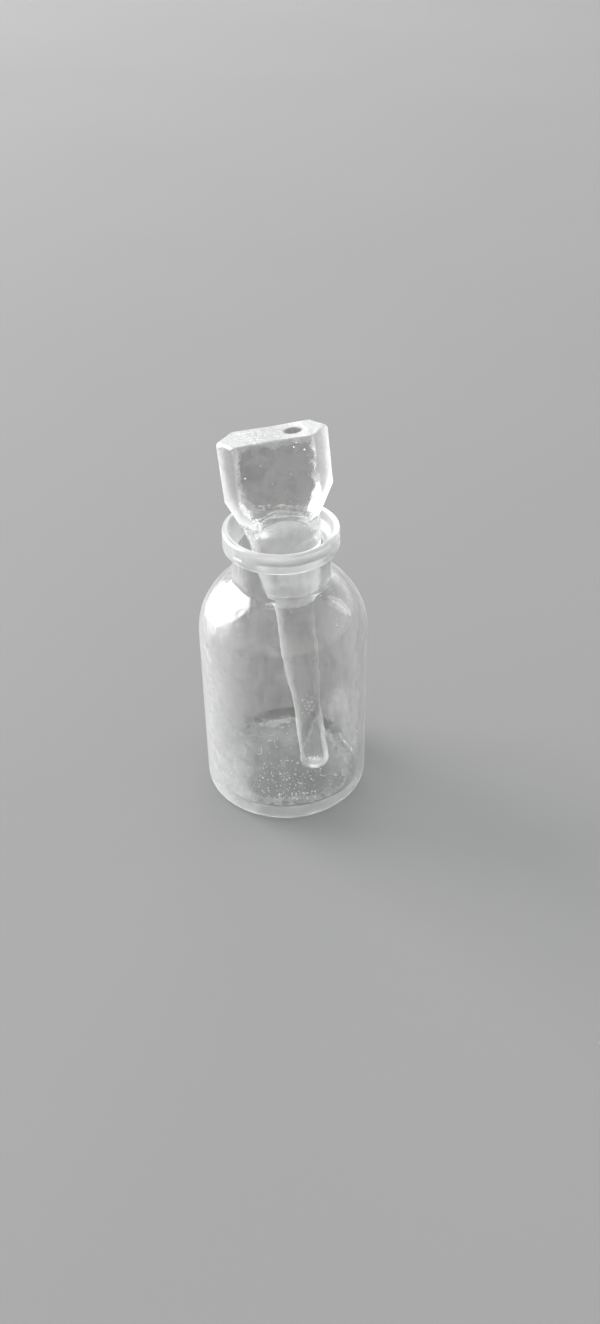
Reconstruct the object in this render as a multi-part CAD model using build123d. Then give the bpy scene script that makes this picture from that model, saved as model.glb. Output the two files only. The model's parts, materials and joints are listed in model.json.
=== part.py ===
from build123d import *
import os
from math import acos, cos, degrees, radians, sin, tan

# Dropper bottle of clear glass: a small moulded bottle, and a pressed stopper that carries a
# dropping rod. Millimetres. The origin is the centre of the base on the surface that the bottle
# stands on, +Z is up along the bottle's axis and -Y is the front. The loose stopper leans in the
# neck, so its pieces are drawn upright about their own axis and then put on the leaning seat.

# Bottle, outside.
BODY_R = 18.0
HEEL_R = 2.2
FOOT_R = 14.6
PUNT_H = 0.9
SHOULDER_Z = 40.6
SHOULDER_H = 15.6
NECK_R = 10.2
LIP_R = 12.0
LIP_Z = 60.3
LIP_SLOPE = 0.5
TOP_Z = 65.0

# Bottle, inside.
WALL = 2.0
FLOOR_Z = 3.0
FLOOR_RISE = 0.5
FLOOR_CORNER = 1.2
RIM_R = 10.7
FUNNEL_Z = 61.8
BORE_TOP_R = 8.7
BORE_LOW_R = 8.55

# Rounding of the bottle's corners.
NECK_ROUND = 1.6
LIP_ROUND = 0.8
RIM_ROUND = 0.35
BORE_ROUND = 1.2

# Seat of the stopper: a point of its axis at the height of the lip, and how far the axis leans.
SEAT = (0.6, 0.0, TOP_Z)
LEAN_LEFT = radians(5.7)
LEAN_BACK = radians(4.2)
HEAD_TURN = radians(4.5)

# Head of the stopper, above the seat: flat hexagons with blunt ends. Each row gives the middle
# of the hexagon, half its length, its height and its slant, from the collar to the top.
HALF_THICK = 4.4
END_POINT = 2.9
HEAD_LEVELS = (
    (-0.7, 7.7, 0.6, radians(0.0)),
    (-0.1, 11.1, 7.6, radians(3.4)),
    (0.0, 11.1, 20.0, radians(1.6)),
)
TOP_ROUND = 0.9
DIMPLE = (4.2, -0.3, 20.6)
DIMPLE_R = 1.9

# Collar and ground plug of the stopper.
COLLAR_R = 7.6
COLLAR_Z = 0.8
CONE_TOP_R = 4.0
CONE_TOP_Z = 3.3
PLUG_TOP_Z = -0.5
PLUG_LOW_R = 5.8
PLUG_LOW_Z = -13.2

# Dropping rod, fused under the plug.
FLARE_R = 5.6
ROD_TOP_R = 4.0
FLARE_Z = -19.5
ROD_R = 3.15
TAPER_START_Z = -20.5
TAPER_END_Z = -48.0
ROD_TIP_Z = -60.0
TIP_H = 2.7


def seat_location():
    """Place of the leaning stopper, with its own axis as the local Z."""
    axis = Vector(-tan(LEAN_LEFT), tan(LEAN_BACK), 1)
    along_head = Vector(cos(HEAD_TURN), sin(HEAD_TURN), 0)
    return Plane(origin=SEAT, x_dir=along_head, z_dir=axis).location


def rounded(profile, corners):
    """Round the profile's corners, each given as its (radius, height) and its rounding."""
    for place, rounding in corners:
        corner = profile.vertices().sort_by_distance(Vector(*place))[0]
        profile = fillet(corner, rounding)
    return profile


def eased(start, end):
    """Soft S between two (radius, height) points, which leaves and arrives along the axis."""
    third = (end[1] - start[1]) / 3
    return Bezier(start, (start[0], start[1] + third), (end[0], end[1] - third), end)


def round_end(radius, end_z, height):
    """Quarter of an ellipse that closes the lower end of a round profile."""
    handle = 0.5523
    side = (radius, end_z + height * (1 - handle))
    under = (radius * handle, end_z)
    return Bezier((radius, end_z + height), side, under, (0, end_z))


def turned(profile):
    """Solid of revolution about Z of a profile drawn as (radius, height)."""
    return revolve(Plane.XZ * profile, Axis.Z)


def bottle():
    """One piece of glass: punted base, straight body, domed shoulder, neck and flanged lip."""
    inner_r = BODY_R - WALL
    inner_h = SHOULDER_H - WALL
    neck_angle = acos(NECK_R / BODY_R)
    bore_angle = acos(BORE_LOW_R / inner_r)
    neck_z = SHOULDER_Z + SHOULDER_H * sin(neck_angle)
    bore_z = SHOULDER_Z + inner_h * sin(bore_angle)
    dome = (0, SHOULDER_Z)
    floor_r = inner_r - FLOOR_CORNER
    outline = [
        TangentArc((0, PUNT_H), (FOOT_R, 0), tangent=(1, 0)),
        Line((FOOT_R, 0), (BODY_R - HEEL_R, 0)),
        TangentArc((BODY_R - HEEL_R, 0), (BODY_R, HEEL_R), tangent=(1, 0)),
        Line((BODY_R, HEEL_R), (BODY_R, SHOULDER_Z)),
        EllipticalCenterArc(dome, BODY_R, SHOULDER_H, 0, arc_size=degrees(neck_angle)),
        Line((NECK_R, neck_z), (NECK_R, LIP_Z)),
        Line((NECK_R, LIP_Z), (LIP_R, LIP_Z + LIP_SLOPE)),
        Line((LIP_R, LIP_Z + LIP_SLOPE), (LIP_R, TOP_Z)),
        Line((LIP_R, TOP_Z), (RIM_R, TOP_Z)),
        TangentArc((RIM_R, TOP_Z), (BORE_TOP_R, FUNNEL_Z), tangent=(-0.1, -1)),
        Line((BORE_TOP_R, FUNNEL_Z), (BORE_LOW_R, bore_z)),
        EllipticalCenterArc(dome, inner_r, inner_h, 0, arc_size=degrees(bore_angle)),
        Line((inner_r, SHOULDER_Z), (inner_r, FLOOR_Z + FLOOR_CORNER)),
        TangentArc((inner_r, FLOOR_Z + FLOOR_CORNER), (floor_r, FLOOR_Z), tangent=(0, -1)),
        TangentArc((0, FLOOR_Z + FLOOR_RISE), (floor_r, FLOOR_Z), tangent=(1, 0)),
        Line((0, FLOOR_Z + FLOOR_RISE), (0, PUNT_H)),
    ]
    corners = [
        ((NECK_R, neck_z), NECK_ROUND),
        ((NECK_R, LIP_Z), LIP_ROUND),
        ((LIP_R, LIP_Z + LIP_SLOPE), LIP_ROUND),
        ((LIP_R, TOP_Z), LIP_ROUND),
        ((RIM_R, TOP_Z), RIM_ROUND),
        ((BORE_LOW_R, bore_z), BORE_ROUND),
    ]
    return turned(rounded(make_face(outline), corners))


def tablet_section(middle, half_length, height, slant):
    """One level of the head: a flat hexagon with a blunt point at each end."""
    corner = half_length - END_POINT
    outline = [
        (-half_length, 0),
        (-corner, -HALF_THICK),
        (corner, -HALF_THICK),
        (half_length, 0),
        (corner, HALF_THICK),
        (-corner, HALF_THICK),
    ]
    level = Plane(
        origin=(middle, 0, height),
        x_dir=(cos(slant), 0, sin(slant)),
        z_dir=(-sin(slant), 0, cos(slant)),
    )
    return level * Polygon(*outline, align=None)


def stopper_head():
    """Pressed grip: a hexagonal tablet, tapered at the foot, with a dimple in its top."""
    tablet = loft([tablet_section(*level) for level in HEAD_LEVELS], ruled=True)
    top_edges = tablet.faces().sort_by(Axis.Z)[-1].edges()
    tablet = fillet(top_edges, TOP_ROUND)
    return tablet - Pos(*DIMPLE) * Sphere(DIMPLE_R)


def stopper_plug():
    """Round collar that comes out of the head as a cone, and the ground plug below it."""
    outline = [
        Line((0, PLUG_LOW_Z), (PLUG_LOW_R, PLUG_LOW_Z)),
        Line((PLUG_LOW_R, PLUG_LOW_Z), (COLLAR_R, PLUG_TOP_Z)),
        Line((COLLAR_R, PLUG_TOP_Z), (COLLAR_R, COLLAR_Z)),
        Line((COLLAR_R, COLLAR_Z), (CONE_TOP_R, CONE_TOP_Z)),
        Line((CONE_TOP_R, CONE_TOP_Z), (0, CONE_TOP_Z)),
        Line((0, CONE_TOP_Z), (0, PLUG_LOW_Z)),
    ]
    return turned(make_face(outline))


def stopper():
    """One piece of glass: the grip, the collar and the ground plug."""
    return seat_location() * (stopper_head() + stopper_plug())


def dropping_rod():
    """Solid glass rod: a flare where it is fused to the plug, a slow taper and a round tip."""
    outline = [
        Line((0, PLUG_LOW_Z), (FLARE_R, PLUG_LOW_Z)),
        eased((FLARE_R, PLUG_LOW_Z), (ROD_TOP_R, FLARE_Z)),
        Line((ROD_TOP_R, FLARE_Z), (ROD_TOP_R, TAPER_START_Z)),
        eased((ROD_TOP_R, TAPER_START_Z), (ROD_R, TAPER_END_Z)),
        Line((ROD_R, TAPER_END_Z), (ROD_R, ROD_TIP_Z + TIP_H)),
        round_end(ROD_R, ROD_TIP_Z, TIP_H),
        Line((0, ROD_TIP_Z), (0, PLUG_LOW_Z)),
    ]
    return seat_location() * turned(make_face(outline))


os.makedirs("parts", exist_ok=True)
for name, solid in {
    "bottle": bottle(),
    "stopper": stopper(),
    "dropping_rod": dropping_rod(),
}.items():
    export_step(solid, f"parts/{name}.step")
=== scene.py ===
"""Looks of a clear glass dropper bottle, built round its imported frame.

Three pieces of glass are made here, in metres, where the frame has them: the moulded bottle, the
pressed stopper and the dropping rod that is fused under it. Lengths are given in millimetres.
"""

import json
import logging
import math
import random
from collections.abc import Callable
from dataclasses import dataclass, field
from enum import Enum

import bmesh
import bpy
from mathutils import Matrix, Vector, noise


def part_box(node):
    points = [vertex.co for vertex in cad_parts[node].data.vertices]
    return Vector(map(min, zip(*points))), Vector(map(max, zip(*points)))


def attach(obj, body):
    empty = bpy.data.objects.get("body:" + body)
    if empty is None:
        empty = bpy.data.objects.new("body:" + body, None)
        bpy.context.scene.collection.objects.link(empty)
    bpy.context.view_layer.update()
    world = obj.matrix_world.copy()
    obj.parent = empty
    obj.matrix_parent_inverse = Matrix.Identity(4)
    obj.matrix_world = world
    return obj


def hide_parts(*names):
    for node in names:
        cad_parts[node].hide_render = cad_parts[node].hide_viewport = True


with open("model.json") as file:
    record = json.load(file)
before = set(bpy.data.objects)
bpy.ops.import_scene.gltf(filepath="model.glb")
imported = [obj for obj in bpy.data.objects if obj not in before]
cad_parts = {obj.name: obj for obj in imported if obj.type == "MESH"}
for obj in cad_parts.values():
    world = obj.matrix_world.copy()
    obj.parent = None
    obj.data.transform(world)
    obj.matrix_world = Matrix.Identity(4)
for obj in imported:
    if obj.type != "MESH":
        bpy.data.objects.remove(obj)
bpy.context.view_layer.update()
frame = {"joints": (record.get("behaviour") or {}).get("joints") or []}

LOG = logging.getLogger("dropper_bottle")
MM = 0.001
UP = Vector((0.0, 0.0, 1.0))
EVERYWHERE = 1.0
MERGE_DISTANCE = 1e-6
TOUCH = 1e-4


class Piece(Enum):
    """The pieces of glass, named as the shown objects are."""

    BOTTLE = "bottle_glass"
    STOPPER = "stopper_glass"
    ROD = "rod_glass"


class Slot(Enum):
    """Places of the finishes on a piece's mesh."""

    GLASS = 0
    GRIT = 1
    JOINT = 2


# ---------------------------------------------------------------------------------------------
# Small geometry helpers
# ---------------------------------------------------------------------------------------------


def soft_max(a: float, b: float, blend: float) -> float:
    """Return the larger of two lengths, rounded where they meet.

    Args:
        a: One length.
        b: The other length.
        blend: How close they may come before the rounding starts.

    Returns:
        The larger length, raised a little near the crossing.
    """
    near = max(blend - abs(a - b), 0.0) / blend
    return max(a, b) + near * near * blend * 0.25


def soft_min(a: float, b: float, blend: float) -> float:
    """Return the smaller of two lengths, rounded where they meet."""
    return -soft_max(-a, -b, blend)


def mix(a: float, b: float, share: float) -> float:
    """Return the value that lies a share of the way from a to b."""
    return a + (b - a) * share


def ripple(point: Vector, size: float, height: float, seed: float) -> float:
    """Return the unevenness of hand-finished glass at a point.

    Args:
        point: Place on the surface, in millimetres.
        size: Width of one swell, in millimetres.
        height: Largest rise, in millimetres.
        seed: Shift that makes one surface differ from another.

    Returns:
        How far the surface stands out there, in millimetres.
    """
    return noise.noise(point / size + Vector((seed, -seed, 2.0 * seed))) * height


@dataclass(frozen=True)
class Seat:
    """Where the loose stopper sits: a point of its axis, the axis and the way its head faces."""

    point: Vector
    axis: Vector
    head_turn: float = 4.5

    @property
    def matrix(self) -> Matrix:
        """Place of the stopper's own frame, from its millimetres to the row's metres."""
        turn = math.radians(self.head_turn)
        along = Vector((math.cos(turn), math.sin(turn), 0.0))
        along = (along - self.axis * along.dot(self.axis)).normalized()
        across = self.axis.cross(along)
        place = Matrix((along, across, self.axis)).transposed().to_4x4()
        return Matrix.Translation(self.point) @ place @ Matrix.Scale(MM, 4)

    @classmethod
    def from_joint(cls, name: str) -> "Seat":
        """Read the seat from one of the frame's joints."""
        joint = next(j for j in frame["joints"] if j["name"] == name)
        return cls(Vector(joint["pos_m"]), Vector(joint["axis"]).normalized())


@dataclass
class Outline:
    """Half section of a turned piece, drawn as (radius, height) from one end to the other."""

    mesh: bmesh.types.BMesh = field(default_factory=bmesh.new)
    chain: list[bmesh.types.BMVert] = field(default_factory=list)
    corners: list[tuple[bmesh.types.BMVert, float]] = field(default_factory=list)

    def to(self, radius: float, height: float, rounding: float = 0.0) -> "Outline":
        """Draw a straight stretch to a point.

        Args:
            radius: Distance of the point from the axis.
            height: Height of the point.
            rounding: How far along both sides the corner there is cut round.

        Returns:
            This outline, so that the calls can be chained.
        """
        vert = self.mesh.verts.new((radius, 0.0, height))
        if self.chain:
            self.mesh.edges.new((self.chain[-1], vert))
        self.chain.append(vert)
        if rounding:
            self.corners.append((vert, rounding))
        return self

    def follow(self, curve: Callable[[float], tuple[float, float]], steps: int) -> "Outline":
        """Draw a curve, after the point that the outline stands at.

        Args:
            curve: Radius and height at a share of the way, from 0 to 1.
            steps: Number of steps.

        Returns:
            This outline.
        """
        for i in range(1, steps + 1):
            self.to(*curve(i / steps))
        return self

    def line(self, radius: float, height: float, steps: int, rounding: float = 0.0) -> "Outline":
        """Draw a straight stretch in equal steps, so that the surface can be shaped later.

        Args:
            radius: Distance of its end from the axis.
            height: Height of its end.
            steps: Number of steps.
            rounding: How far along both sides the corner at its end is cut round.

        Returns:
            This outline.
        """
        start = self.chain[-1].co.copy()
        for i in range(1, steps):
            self.to(mix(start.x, radius, i / steps), mix(start.z, height, i / steps))
        return self.to(radius, height, rounding)

    def ease(self, radius: float, height: float, steps: int) -> "Outline":
        """Draw a soft S that starts and ends along the axis.

        Args:
            radius: Distance of its end from the axis.
            height: Height of its end.
            steps: Number of steps.

        Returns:
            This outline.
        """
        start = self.chain[-1].co.copy()

        def curve(share: float) -> tuple[float, float]:
            """Return the place at a share of the way."""
            eased = share * share * (3.0 - 2.0 * share)
            return mix(start.x, radius, eased), mix(start.z, height, share)

        return self.follow(curve, steps)

    def arc(
        self,
        middle: tuple[float, float],
        across: float,
        upward: float,
        start: float,
        end: float,
        steps: int,
    ) -> "Outline":
        """Draw part of an ellipse, after the point that the outline stands at.

        Args:
            middle: Radius and height of the ellipse's middle.
            across: Its half width.
            upward: Its half height.
            start: Angle that the outline stands at, in degrees.
            end: Angle that the arc ends at, in degrees.
            steps: Number of steps.

        Returns:
            This outline.
        """

        def curve(share: float) -> tuple[float, float]:
            """Return the place at a share of the way."""
            angle = math.radians(mix(start, end, share))
            radius = middle[0] + across * math.cos(angle)
            return max(radius, 0.0), middle[1] + upward * math.sin(angle)

        return self.follow(curve, steps)

    def turn(self, steps: int, corner_segments: int = 6) -> bmesh.types.BMesh:
        """Round the corners and spin the outline into a closed surface.

        Args:
            steps: Number of steps round the axis.
            corner_segments: Number of segments in each rounded corner.

        Returns:
            The turned mesh, with its faces pointing outwards.
        """
        for vert, rounding in self.corners:
            bmesh.ops.bevel(
                self.mesh,
                geom=[vert],
                offset=rounding,
                offset_type="OFFSET",
                affect="VERTICES",
                segments=corner_segments,
                profile=0.5,
                material=-1,
            )
        bmesh.ops.spin(
            self.mesh,
            geom=self.mesh.verts[:] + self.mesh.edges[:],
            cent=(0.0, 0.0, 0.0),
            axis=(0.0, 0.0, 1.0),
            angle=math.tau,
            steps=steps,
            use_merge=True,
        )
        bmesh.ops.remove_doubles(self.mesh, verts=self.mesh.verts[:], dist=MERGE_DISTANCE)
        bmesh.ops.recalc_face_normals(self.mesh, faces=self.mesh.faces[:])
        return self.mesh


def add_grain(mesh: bmesh.types.BMesh, radius: float, shape: Matrix) -> None:
    """Add one white grain to a piece.

    Args:
        mesh: The piece's mesh.
        radius: Radius of the round grain, before it is shaped.
        shape: Stretches the grain and puts it in its place.
    """
    made = bmesh.ops.create_icosphere(mesh, subdivisions=1, radius=radius, matrix=shape)
    for face in {face for vert in made["verts"] for face in vert.link_faces}:
        face.material_index = Slot.GRIT.value


@dataclass(frozen=True)
class Flaw:
    """Something small that is caught in the glass, in the piece's own millimetres."""

    place: tuple[float, float, float]
    radius: float
    stretch: float = 1.0

    @property
    def shape(self) -> Matrix:
        """Its place and its stretch along the piece's axis."""
        return Matrix.Translation(self.place) @ Matrix.Diagonal((1.0, 1.0, self.stretch, 1.0))


class Seed(Flaw):
    """A small bubble of air."""

    def set_into(self, mesh: bmesh.types.BMesh) -> None:
        """Add the bubble's wall, which faces the air inside it, to the glass round it.

        Args:
            mesh: The piece's mesh.
        """
        made = bmesh.ops.create_icosphere(
            mesh, subdivisions=2, radius=self.radius, matrix=self.shape
        )
        walls = list({face for vert in made["verts"] for face in vert.link_faces})
        bmesh.ops.reverse_faces(mesh, faces=walls)


class WhiteGrain(Flaw):
    """A matt white grain near the surface: an unmelted stone, and on the bottle's shoulder and the
    rod partly a painted glint.
    """

    def set_into(self, mesh: bmesh.types.BMesh) -> None:
        """Add the grain to the glass."""
        add_grain(mesh, self.radius, self.shape)


@dataclass(frozen=True)
class Grit:
    """A patch of white grains of dried scale on the inside floor, in millimetres."""

    count: int
    middle: tuple[float, float]
    reach: tuple[float, float]
    sizes: tuple[float, float] = (0.05, 0.17)
    flatness: float = 0.6

    def sprinkle(self, mesh: bmesh.types.BMesh, floor: Callable[[float], float]) -> None:
        """Add the grains to a mesh, the same ones each time.

        Args:
            mesh: The bottle's mesh.
            floor: Height of the inside floor at a distance from the axis.
        """
        draw = random.Random(self.count)
        for _ in range(self.count):
            away, way = math.sqrt(draw.random()), draw.uniform(0.0, math.tau)
            x = self.middle[0] + self.reach[0] * away * math.cos(way)
            y = self.middle[1] + self.reach[1] * away * math.sin(way)
            size = mix(*self.sizes, draw.random() ** 2)
            stretch = draw.uniform(0.7, 1.9)
            shape = (
                Matrix.Translation((x, y, floor(math.hypot(x, y)) + size * 0.3))
                @ Matrix.Rotation(draw.uniform(0.0, math.tau), 4, "Z")
                @ Matrix.Diagonal((stretch, 1.0, self.flatness, 1.0))
            )
            add_grain(mesh, size, shape)


def open_joint(mesh: bmesh.types.BMesh, height: float) -> None:
    """Mark the flat end where a piece is fused to the next one.

    Args:
        mesh: The piece's mesh, in its own millimetres.
        height: Height of the end.
    """
    for face in mesh.faces:
        if all(abs(vert.co.z - height) < TOUCH for vert in face.verts):
            face.material_index = Slot.JOINT.value


def to_object(mesh: bmesh.types.BMesh, piece: Piece, place: Matrix) -> bpy.types.Object:
    """Put a finished mesh in its place and make it an object at the origin.

    Args:
        mesh: The mesh, in its own millimetres.
        piece: Which piece it is.
        place: From its millimetres to the row's metres.

    Returns:
        The object, smooth shaded and linked to the scene.
    """
    bmesh.ops.transform(mesh, matrix=place, verts=mesh.verts[:])
    for face in mesh.faces:
        face.smooth = True
    data = bpy.data.meshes.new(piece.value)
    mesh.to_mesh(data)
    mesh.free()
    shown = bpy.data.objects.new(piece.value, data)
    bpy.context.scene.collection.objects.link(shown)
    return shown


# ---------------------------------------------------------------------------------------------
# Shader building
# ---------------------------------------------------------------------------------------------


@dataclass
class Wiring:
    """Places and joins shader nodes in one node tree."""

    tree: bpy.types.NodeTree

    def add(self, kind: str, settings: dict | None = None, **values: object) -> bpy.types.Node:
        """Place a node.

        Args:
            kind: The node's type.
            settings: Properties of the node.
            **values: Inputs by name, with underscores for spaces, as constants or as the
                sockets that they are joined to.

        Returns:
            The new node.
        """
        node = self.tree.nodes.new(kind)
        for name, value in (settings or {}).items():
            setattr(node, name, value)
        for name, value in values.items():
            self.feed(node.inputs[name.replace("_", " ")], value)
        return node

    def feed(self, socket: bpy.types.NodeSocket, value: object) -> None:
        """Give an input its constant, or join it to an output.

        Args:
            socket: The input.
            value: The constant, or the output.
        """
        if isinstance(value, bpy.types.NodeSocket):
            self.tree.links.new(value, socket)
        else:
            socket.default_value = value

    def math(self, operation: str, *values: object) -> bpy.types.NodeSocket:
        """Place a Math node.

        Args:
            operation: What it works out.
            *values: Its inputs, in order.

        Returns:
            Its result.
        """
        node = self.tree.nodes.new("ShaderNodeMath")
        node.operation = operation
        for socket, value in zip(node.inputs, values):
            self.feed(socket, value)
        return node.outputs[0]

    def vector(self, operation: str, *values: object, out: str = "Vector") -> bpy.types.NodeSocket:
        """Place a Vector Math node.

        Args:
            operation: What it works out.
            *values: Its inputs, in order.
            out: Which of its results is wanted.

        Returns:
            That result.
        """
        node = self.tree.nodes.new("ShaderNodeVectorMath")
        node.operation = operation
        for socket, value in zip(node.inputs, values):
            self.feed(socket, value)
        return node.outputs[out]

    def ramp(self, value: object, low: object, high: object) -> bpy.types.NodeSocket:
        """Place a soft step.

        Args:
            value: The value that is looked at.
            low: Where the step starts.
            high: Where the step ends.

        Returns:
            0 below the step and 1 above it.
        """
        node = self.add(
            "ShaderNodeMapRange",
            {"interpolation_type": "SMOOTHSTEP"},
            Value=value,
            From_Min=low,
            From_Max=high,
        )
        return node.outputs["Result"]

    def group(self, tree: bpy.types.NodeTree, **values: object) -> bpy.types.Node:
        """Place a node group with its own values."""
        return self.add("ShaderNodeGroup", {"node_tree": tree}, **values)

    def blend(self, share: object, first: object, second: object) -> bpy.types.NodeSocket:
        """Place a colour mix.

        Args:
            share: How much of the second colour shows.
            first: One colour, or an output.
            second: The other colour, or an output.

        Returns:
            The mixed colour.
        """
        node = self.add("ShaderNodeMix", {"data_type": "RGBA"}, Factor=share)
        self.feed(node.inputs["A"], first)
        self.feed(node.inputs["B"], second)
        return node.outputs["Result"]


def new_group(name: str, inputs: dict[str, object], outputs: tuple[str, ...]) -> Wiring:
    """Start a shader node group.

    Args:
        name: The group's name.
        inputs: Default of each input, by name; a tuple makes a vector input.
        outputs: Names of its number outputs.

    Returns:
        The wiring of the new group, with its Group Input and Group Output placed.
    """
    tree = bpy.data.node_groups.new(name, "ShaderNodeTree")
    for label, default in inputs.items():
        kind = "NodeSocketVector" if isinstance(default, tuple) else "NodeSocketFloat"
        socket = tree.interface.new_socket(label, in_out="INPUT", socket_type=kind)
        socket.default_value = default
    for label in outputs:
        tree.interface.new_socket(label, in_out="OUTPUT", socket_type="NodeSocketFloat")
    tree.nodes.new("NodeGroupInput")
    tree.nodes.new("NodeGroupOutput")
    return Wiring(tree)


class GlassEffects:
    """Effects that all the glass finishes share, as node groups that are built once."""

    def __init__(self) -> None:
        """Build the groups."""
        self.ground_band = self._ground_band()
        self.surface = self._surface()

    @staticmethod
    def _ends(wiring: Wiring) -> tuple[bpy.types.Node, bpy.types.Node]:
        """Return the Group Input and Group Output of a group."""
        nodes = wiring.tree.nodes
        return nodes["Group Input"], nodes["Group Output"]

    def _ground_band(self) -> bpy.types.NodeTree:
        """Mask of a stretch of an axis that was ground matt, with a ragged edge."""
        wiring = new_group(
            "ground band",
            {
                "Point": (0.0, 0.0, 0.0),
                "Seat": (0.0, 0.0, 0.0),
                "Axis": (0.0, 0.0, 1.0),
                "Low": 0.0,
                "High": 0.01,
                "Core": -1.0,
                "Reach": 1.0,
                "Edge": 0.0004,
                "Grain": 900.0,
                "Rag": 0.0008,
            },
            ("Mask",),
        )
        start, end = self._ends(wiring)
        given = start.outputs
        ragged = wiring.add(
            "ShaderNodeTexNoise", Vector=given["Point"], Scale=given["Grain"], Detail=4.0
        )
        middle = wiring.math("SUBTRACT", ragged.outputs["Fac"], 0.5)
        shift = wiring.math("MULTIPLY", middle, given["Rag"])
        offset = wiring.vector("SUBTRACT", given["Point"], given["Seat"])
        along = wiring.vector("DOT_PRODUCT", offset, given["Axis"], out="Value")
        scaled = wiring.add("ShaderNodeVectorMath", {"operation": "SCALE"}, Scale=along)
        wiring.feed(scaled.inputs[0], given["Axis"])
        across = wiring.vector("SUBTRACT", offset, scaled.outputs["Vector"])
        radius = wiring.math("ADD", wiring.vector("LENGTH", across, out="Value"), shift)
        height = wiring.math("ADD", along, shift)
        low_end = wiring.math("ADD", given["Low"], given["Edge"])
        high_end = wiring.math("ADD", given["High"], given["Edge"])
        above = wiring.ramp(height, given["Low"], low_end)
        below = wiring.math("SUBTRACT", 1.0, wiring.ramp(height, given["High"], high_end))
        within = wiring.math("LESS_THAN", radius, given["Reach"])
        beyond = wiring.math("GREATER_THAN", radius, given["Core"])
        ring = wiring.math("MULTIPLY", within, beyond)
        mask = wiring.math("MULTIPLY", wiring.math("MULTIPLY", above, below), ring)
        wiring.feed(end.inputs["Mask"], mask)
        return wiring.tree

    def _surface(self) -> bpy.types.NodeTree:
        """Swells, drawn streaks, smears and pinhead pits of old moulded glass."""
        wiring = new_group(
            "moulded glass surface",
            {"Point": (0.0, 0.0, 0.0), "Draw": 0.25},
            ("Height", "Haze", "Film"),
        )
        start, end = self._ends(wiring)
        given = start.outputs
        swell = wiring.add("ShaderNodeTexNoise", Vector=given["Point"], Scale=140.0, Detail=3.0)
        squeeze = wiring.add("ShaderNodeCombineXYZ", X=1.0, Y=1.0, Z=given["Draw"])
        drawn = wiring.vector("MULTIPLY", given["Point"], squeeze.outputs["Vector"])
        streak = wiring.add("ShaderNodeTexNoise", Vector=drawn, Scale=620.0, Detail=2.0)
        smear = wiring.add("ShaderNodeTexNoise", Vector=given["Point"], Scale=210.0, Detail=5.0)
        cells = wiring.add("ShaderNodeTexVoronoi", Vector=given["Point"], Scale=520.0)
        pit = wiring.math("SUBTRACT", 1.0, wiring.ramp(cells.outputs["Distance"], 0.06, 0.12))
        height = wiring.math("MULTIPLY_ADD", streak.outputs["Fac"], 0.25, swell.outputs["Fac"])
        height = wiring.math("MULTIPLY_ADD", pit, -0.3, height)
        haze = wiring.ramp(smear.outputs["Fac"], 0.52, 0.72)
        haze = wiring.math("MULTIPLY_ADD", pit, 0.6, haze)
        mottle = wiring.add("ShaderNodeTexNoise", Vector=drawn, Scale=480.0, Detail=6.0)
        cloud = wiring.add("ShaderNodeTexNoise", Vector=given["Point"], Scale=95.0, Detail=2.0)
        film = wiring.math("MULTIPLY", mottle.outputs["Fac"], cloud.outputs["Fac"])
        film = wiring.ramp(film, 0.2, 0.36)
        wiring.feed(end.inputs["Height"], height)
        wiring.feed(end.inputs["Haze"], haze)
        wiring.feed(end.inputs["Film"], film)
        return wiring.tree


@dataclass(frozen=True)
class GroundZone:
    """A stretch of a piece that is ground, darkened by painted shade or rippled, in metres from a
    seat.

    It runs along the axis from low to high, between core and reach away from the axis. Edge is
    the softness of its ends, and grain and rag are the fineness and the depth of their raggedness.
    Roughness, whiteness, shade and swell are how matt, milky, dark and rippled it is; the shade is
    painted shade.
    """

    seat: Vector
    axis: Vector
    low: float
    high: float
    core: float = -1.0
    reach: float = EVERYWHERE
    edge: float = 0.4 * MM
    grain: float = 900.0
    rag: float = 0.8 * MM
    roughness: float = 0.0
    whiteness: float = 0.0
    shade: float = 0.0
    swell: float = 0.0

    def mask(
        self, wiring: "Wiring", effects: "GlassEffects", point: bpy.types.NodeSocket
    ) -> bpy.types.NodeSocket:
        """Return the mask of the zone.

        Args:
            wiring: The finish's wiring.
            effects: The shared node groups.
            point: The place on the surface.

        Returns:
            1 in the zone and 0 outside it.
        """
        band = wiring.group(
            effects.ground_band,
            Point=point,
            Seat=self.seat,
            Axis=self.axis,
            Low=self.low,
            High=self.high,
            Core=self.core,
            Reach=self.reach,
            Edge=self.edge,
            Grain=self.grain,
            Rag=self.rag,
        )
        return band.outputs["Mask"]


@dataclass(frozen=True)
class SpeckField:
    """Where specks of scale and dust have settled, in metres from the origin."""

    low: float
    high: float
    reach: float
    crowd: float = 900.0
    size: float = 0.3
    roughness: float = 0.5

    def specks(self, wiring: "Wiring", point: bpy.types.NodeSocket) -> bpy.types.NodeSocket:
        """Return the mask of the specks.

        Args:
            wiring: The finish's wiring.
            point: The place on the surface.

        Returns:
            1 on a speck and 0 beside it.
        """
        cells = wiring.add("ShaderNodeTexVoronoi", Vector=point, Scale=self.crowd)
        chance = wiring.add("ShaderNodeSeparateColor", Color=cells.outputs["Color"]).outputs[0]
        size = wiring.math("MULTIPLY", chance, self.size)
        core = wiring.math("MULTIPLY", size, 0.5)
        speck = wiring.math("SUBTRACT", 1.0, wiring.ramp(cells.outputs["Distance"], core, size))
        height = wiring.vector("DOT_PRODUCT", point, UP, out="Value")
        away = wiring.vector("LENGTH", point, out="Value")
        within = wiring.math("LESS_THAN", away, self.reach)
        above = wiring.math("GREATER_THAN", height, self.low)
        below = wiring.math("LESS_THAN", height, self.high)
        mask = wiring.math("MULTIPLY", wiring.math("MULTIPLY", above, below), within)
        return wiring.math("MULTIPLY", mask, speck)


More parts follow.
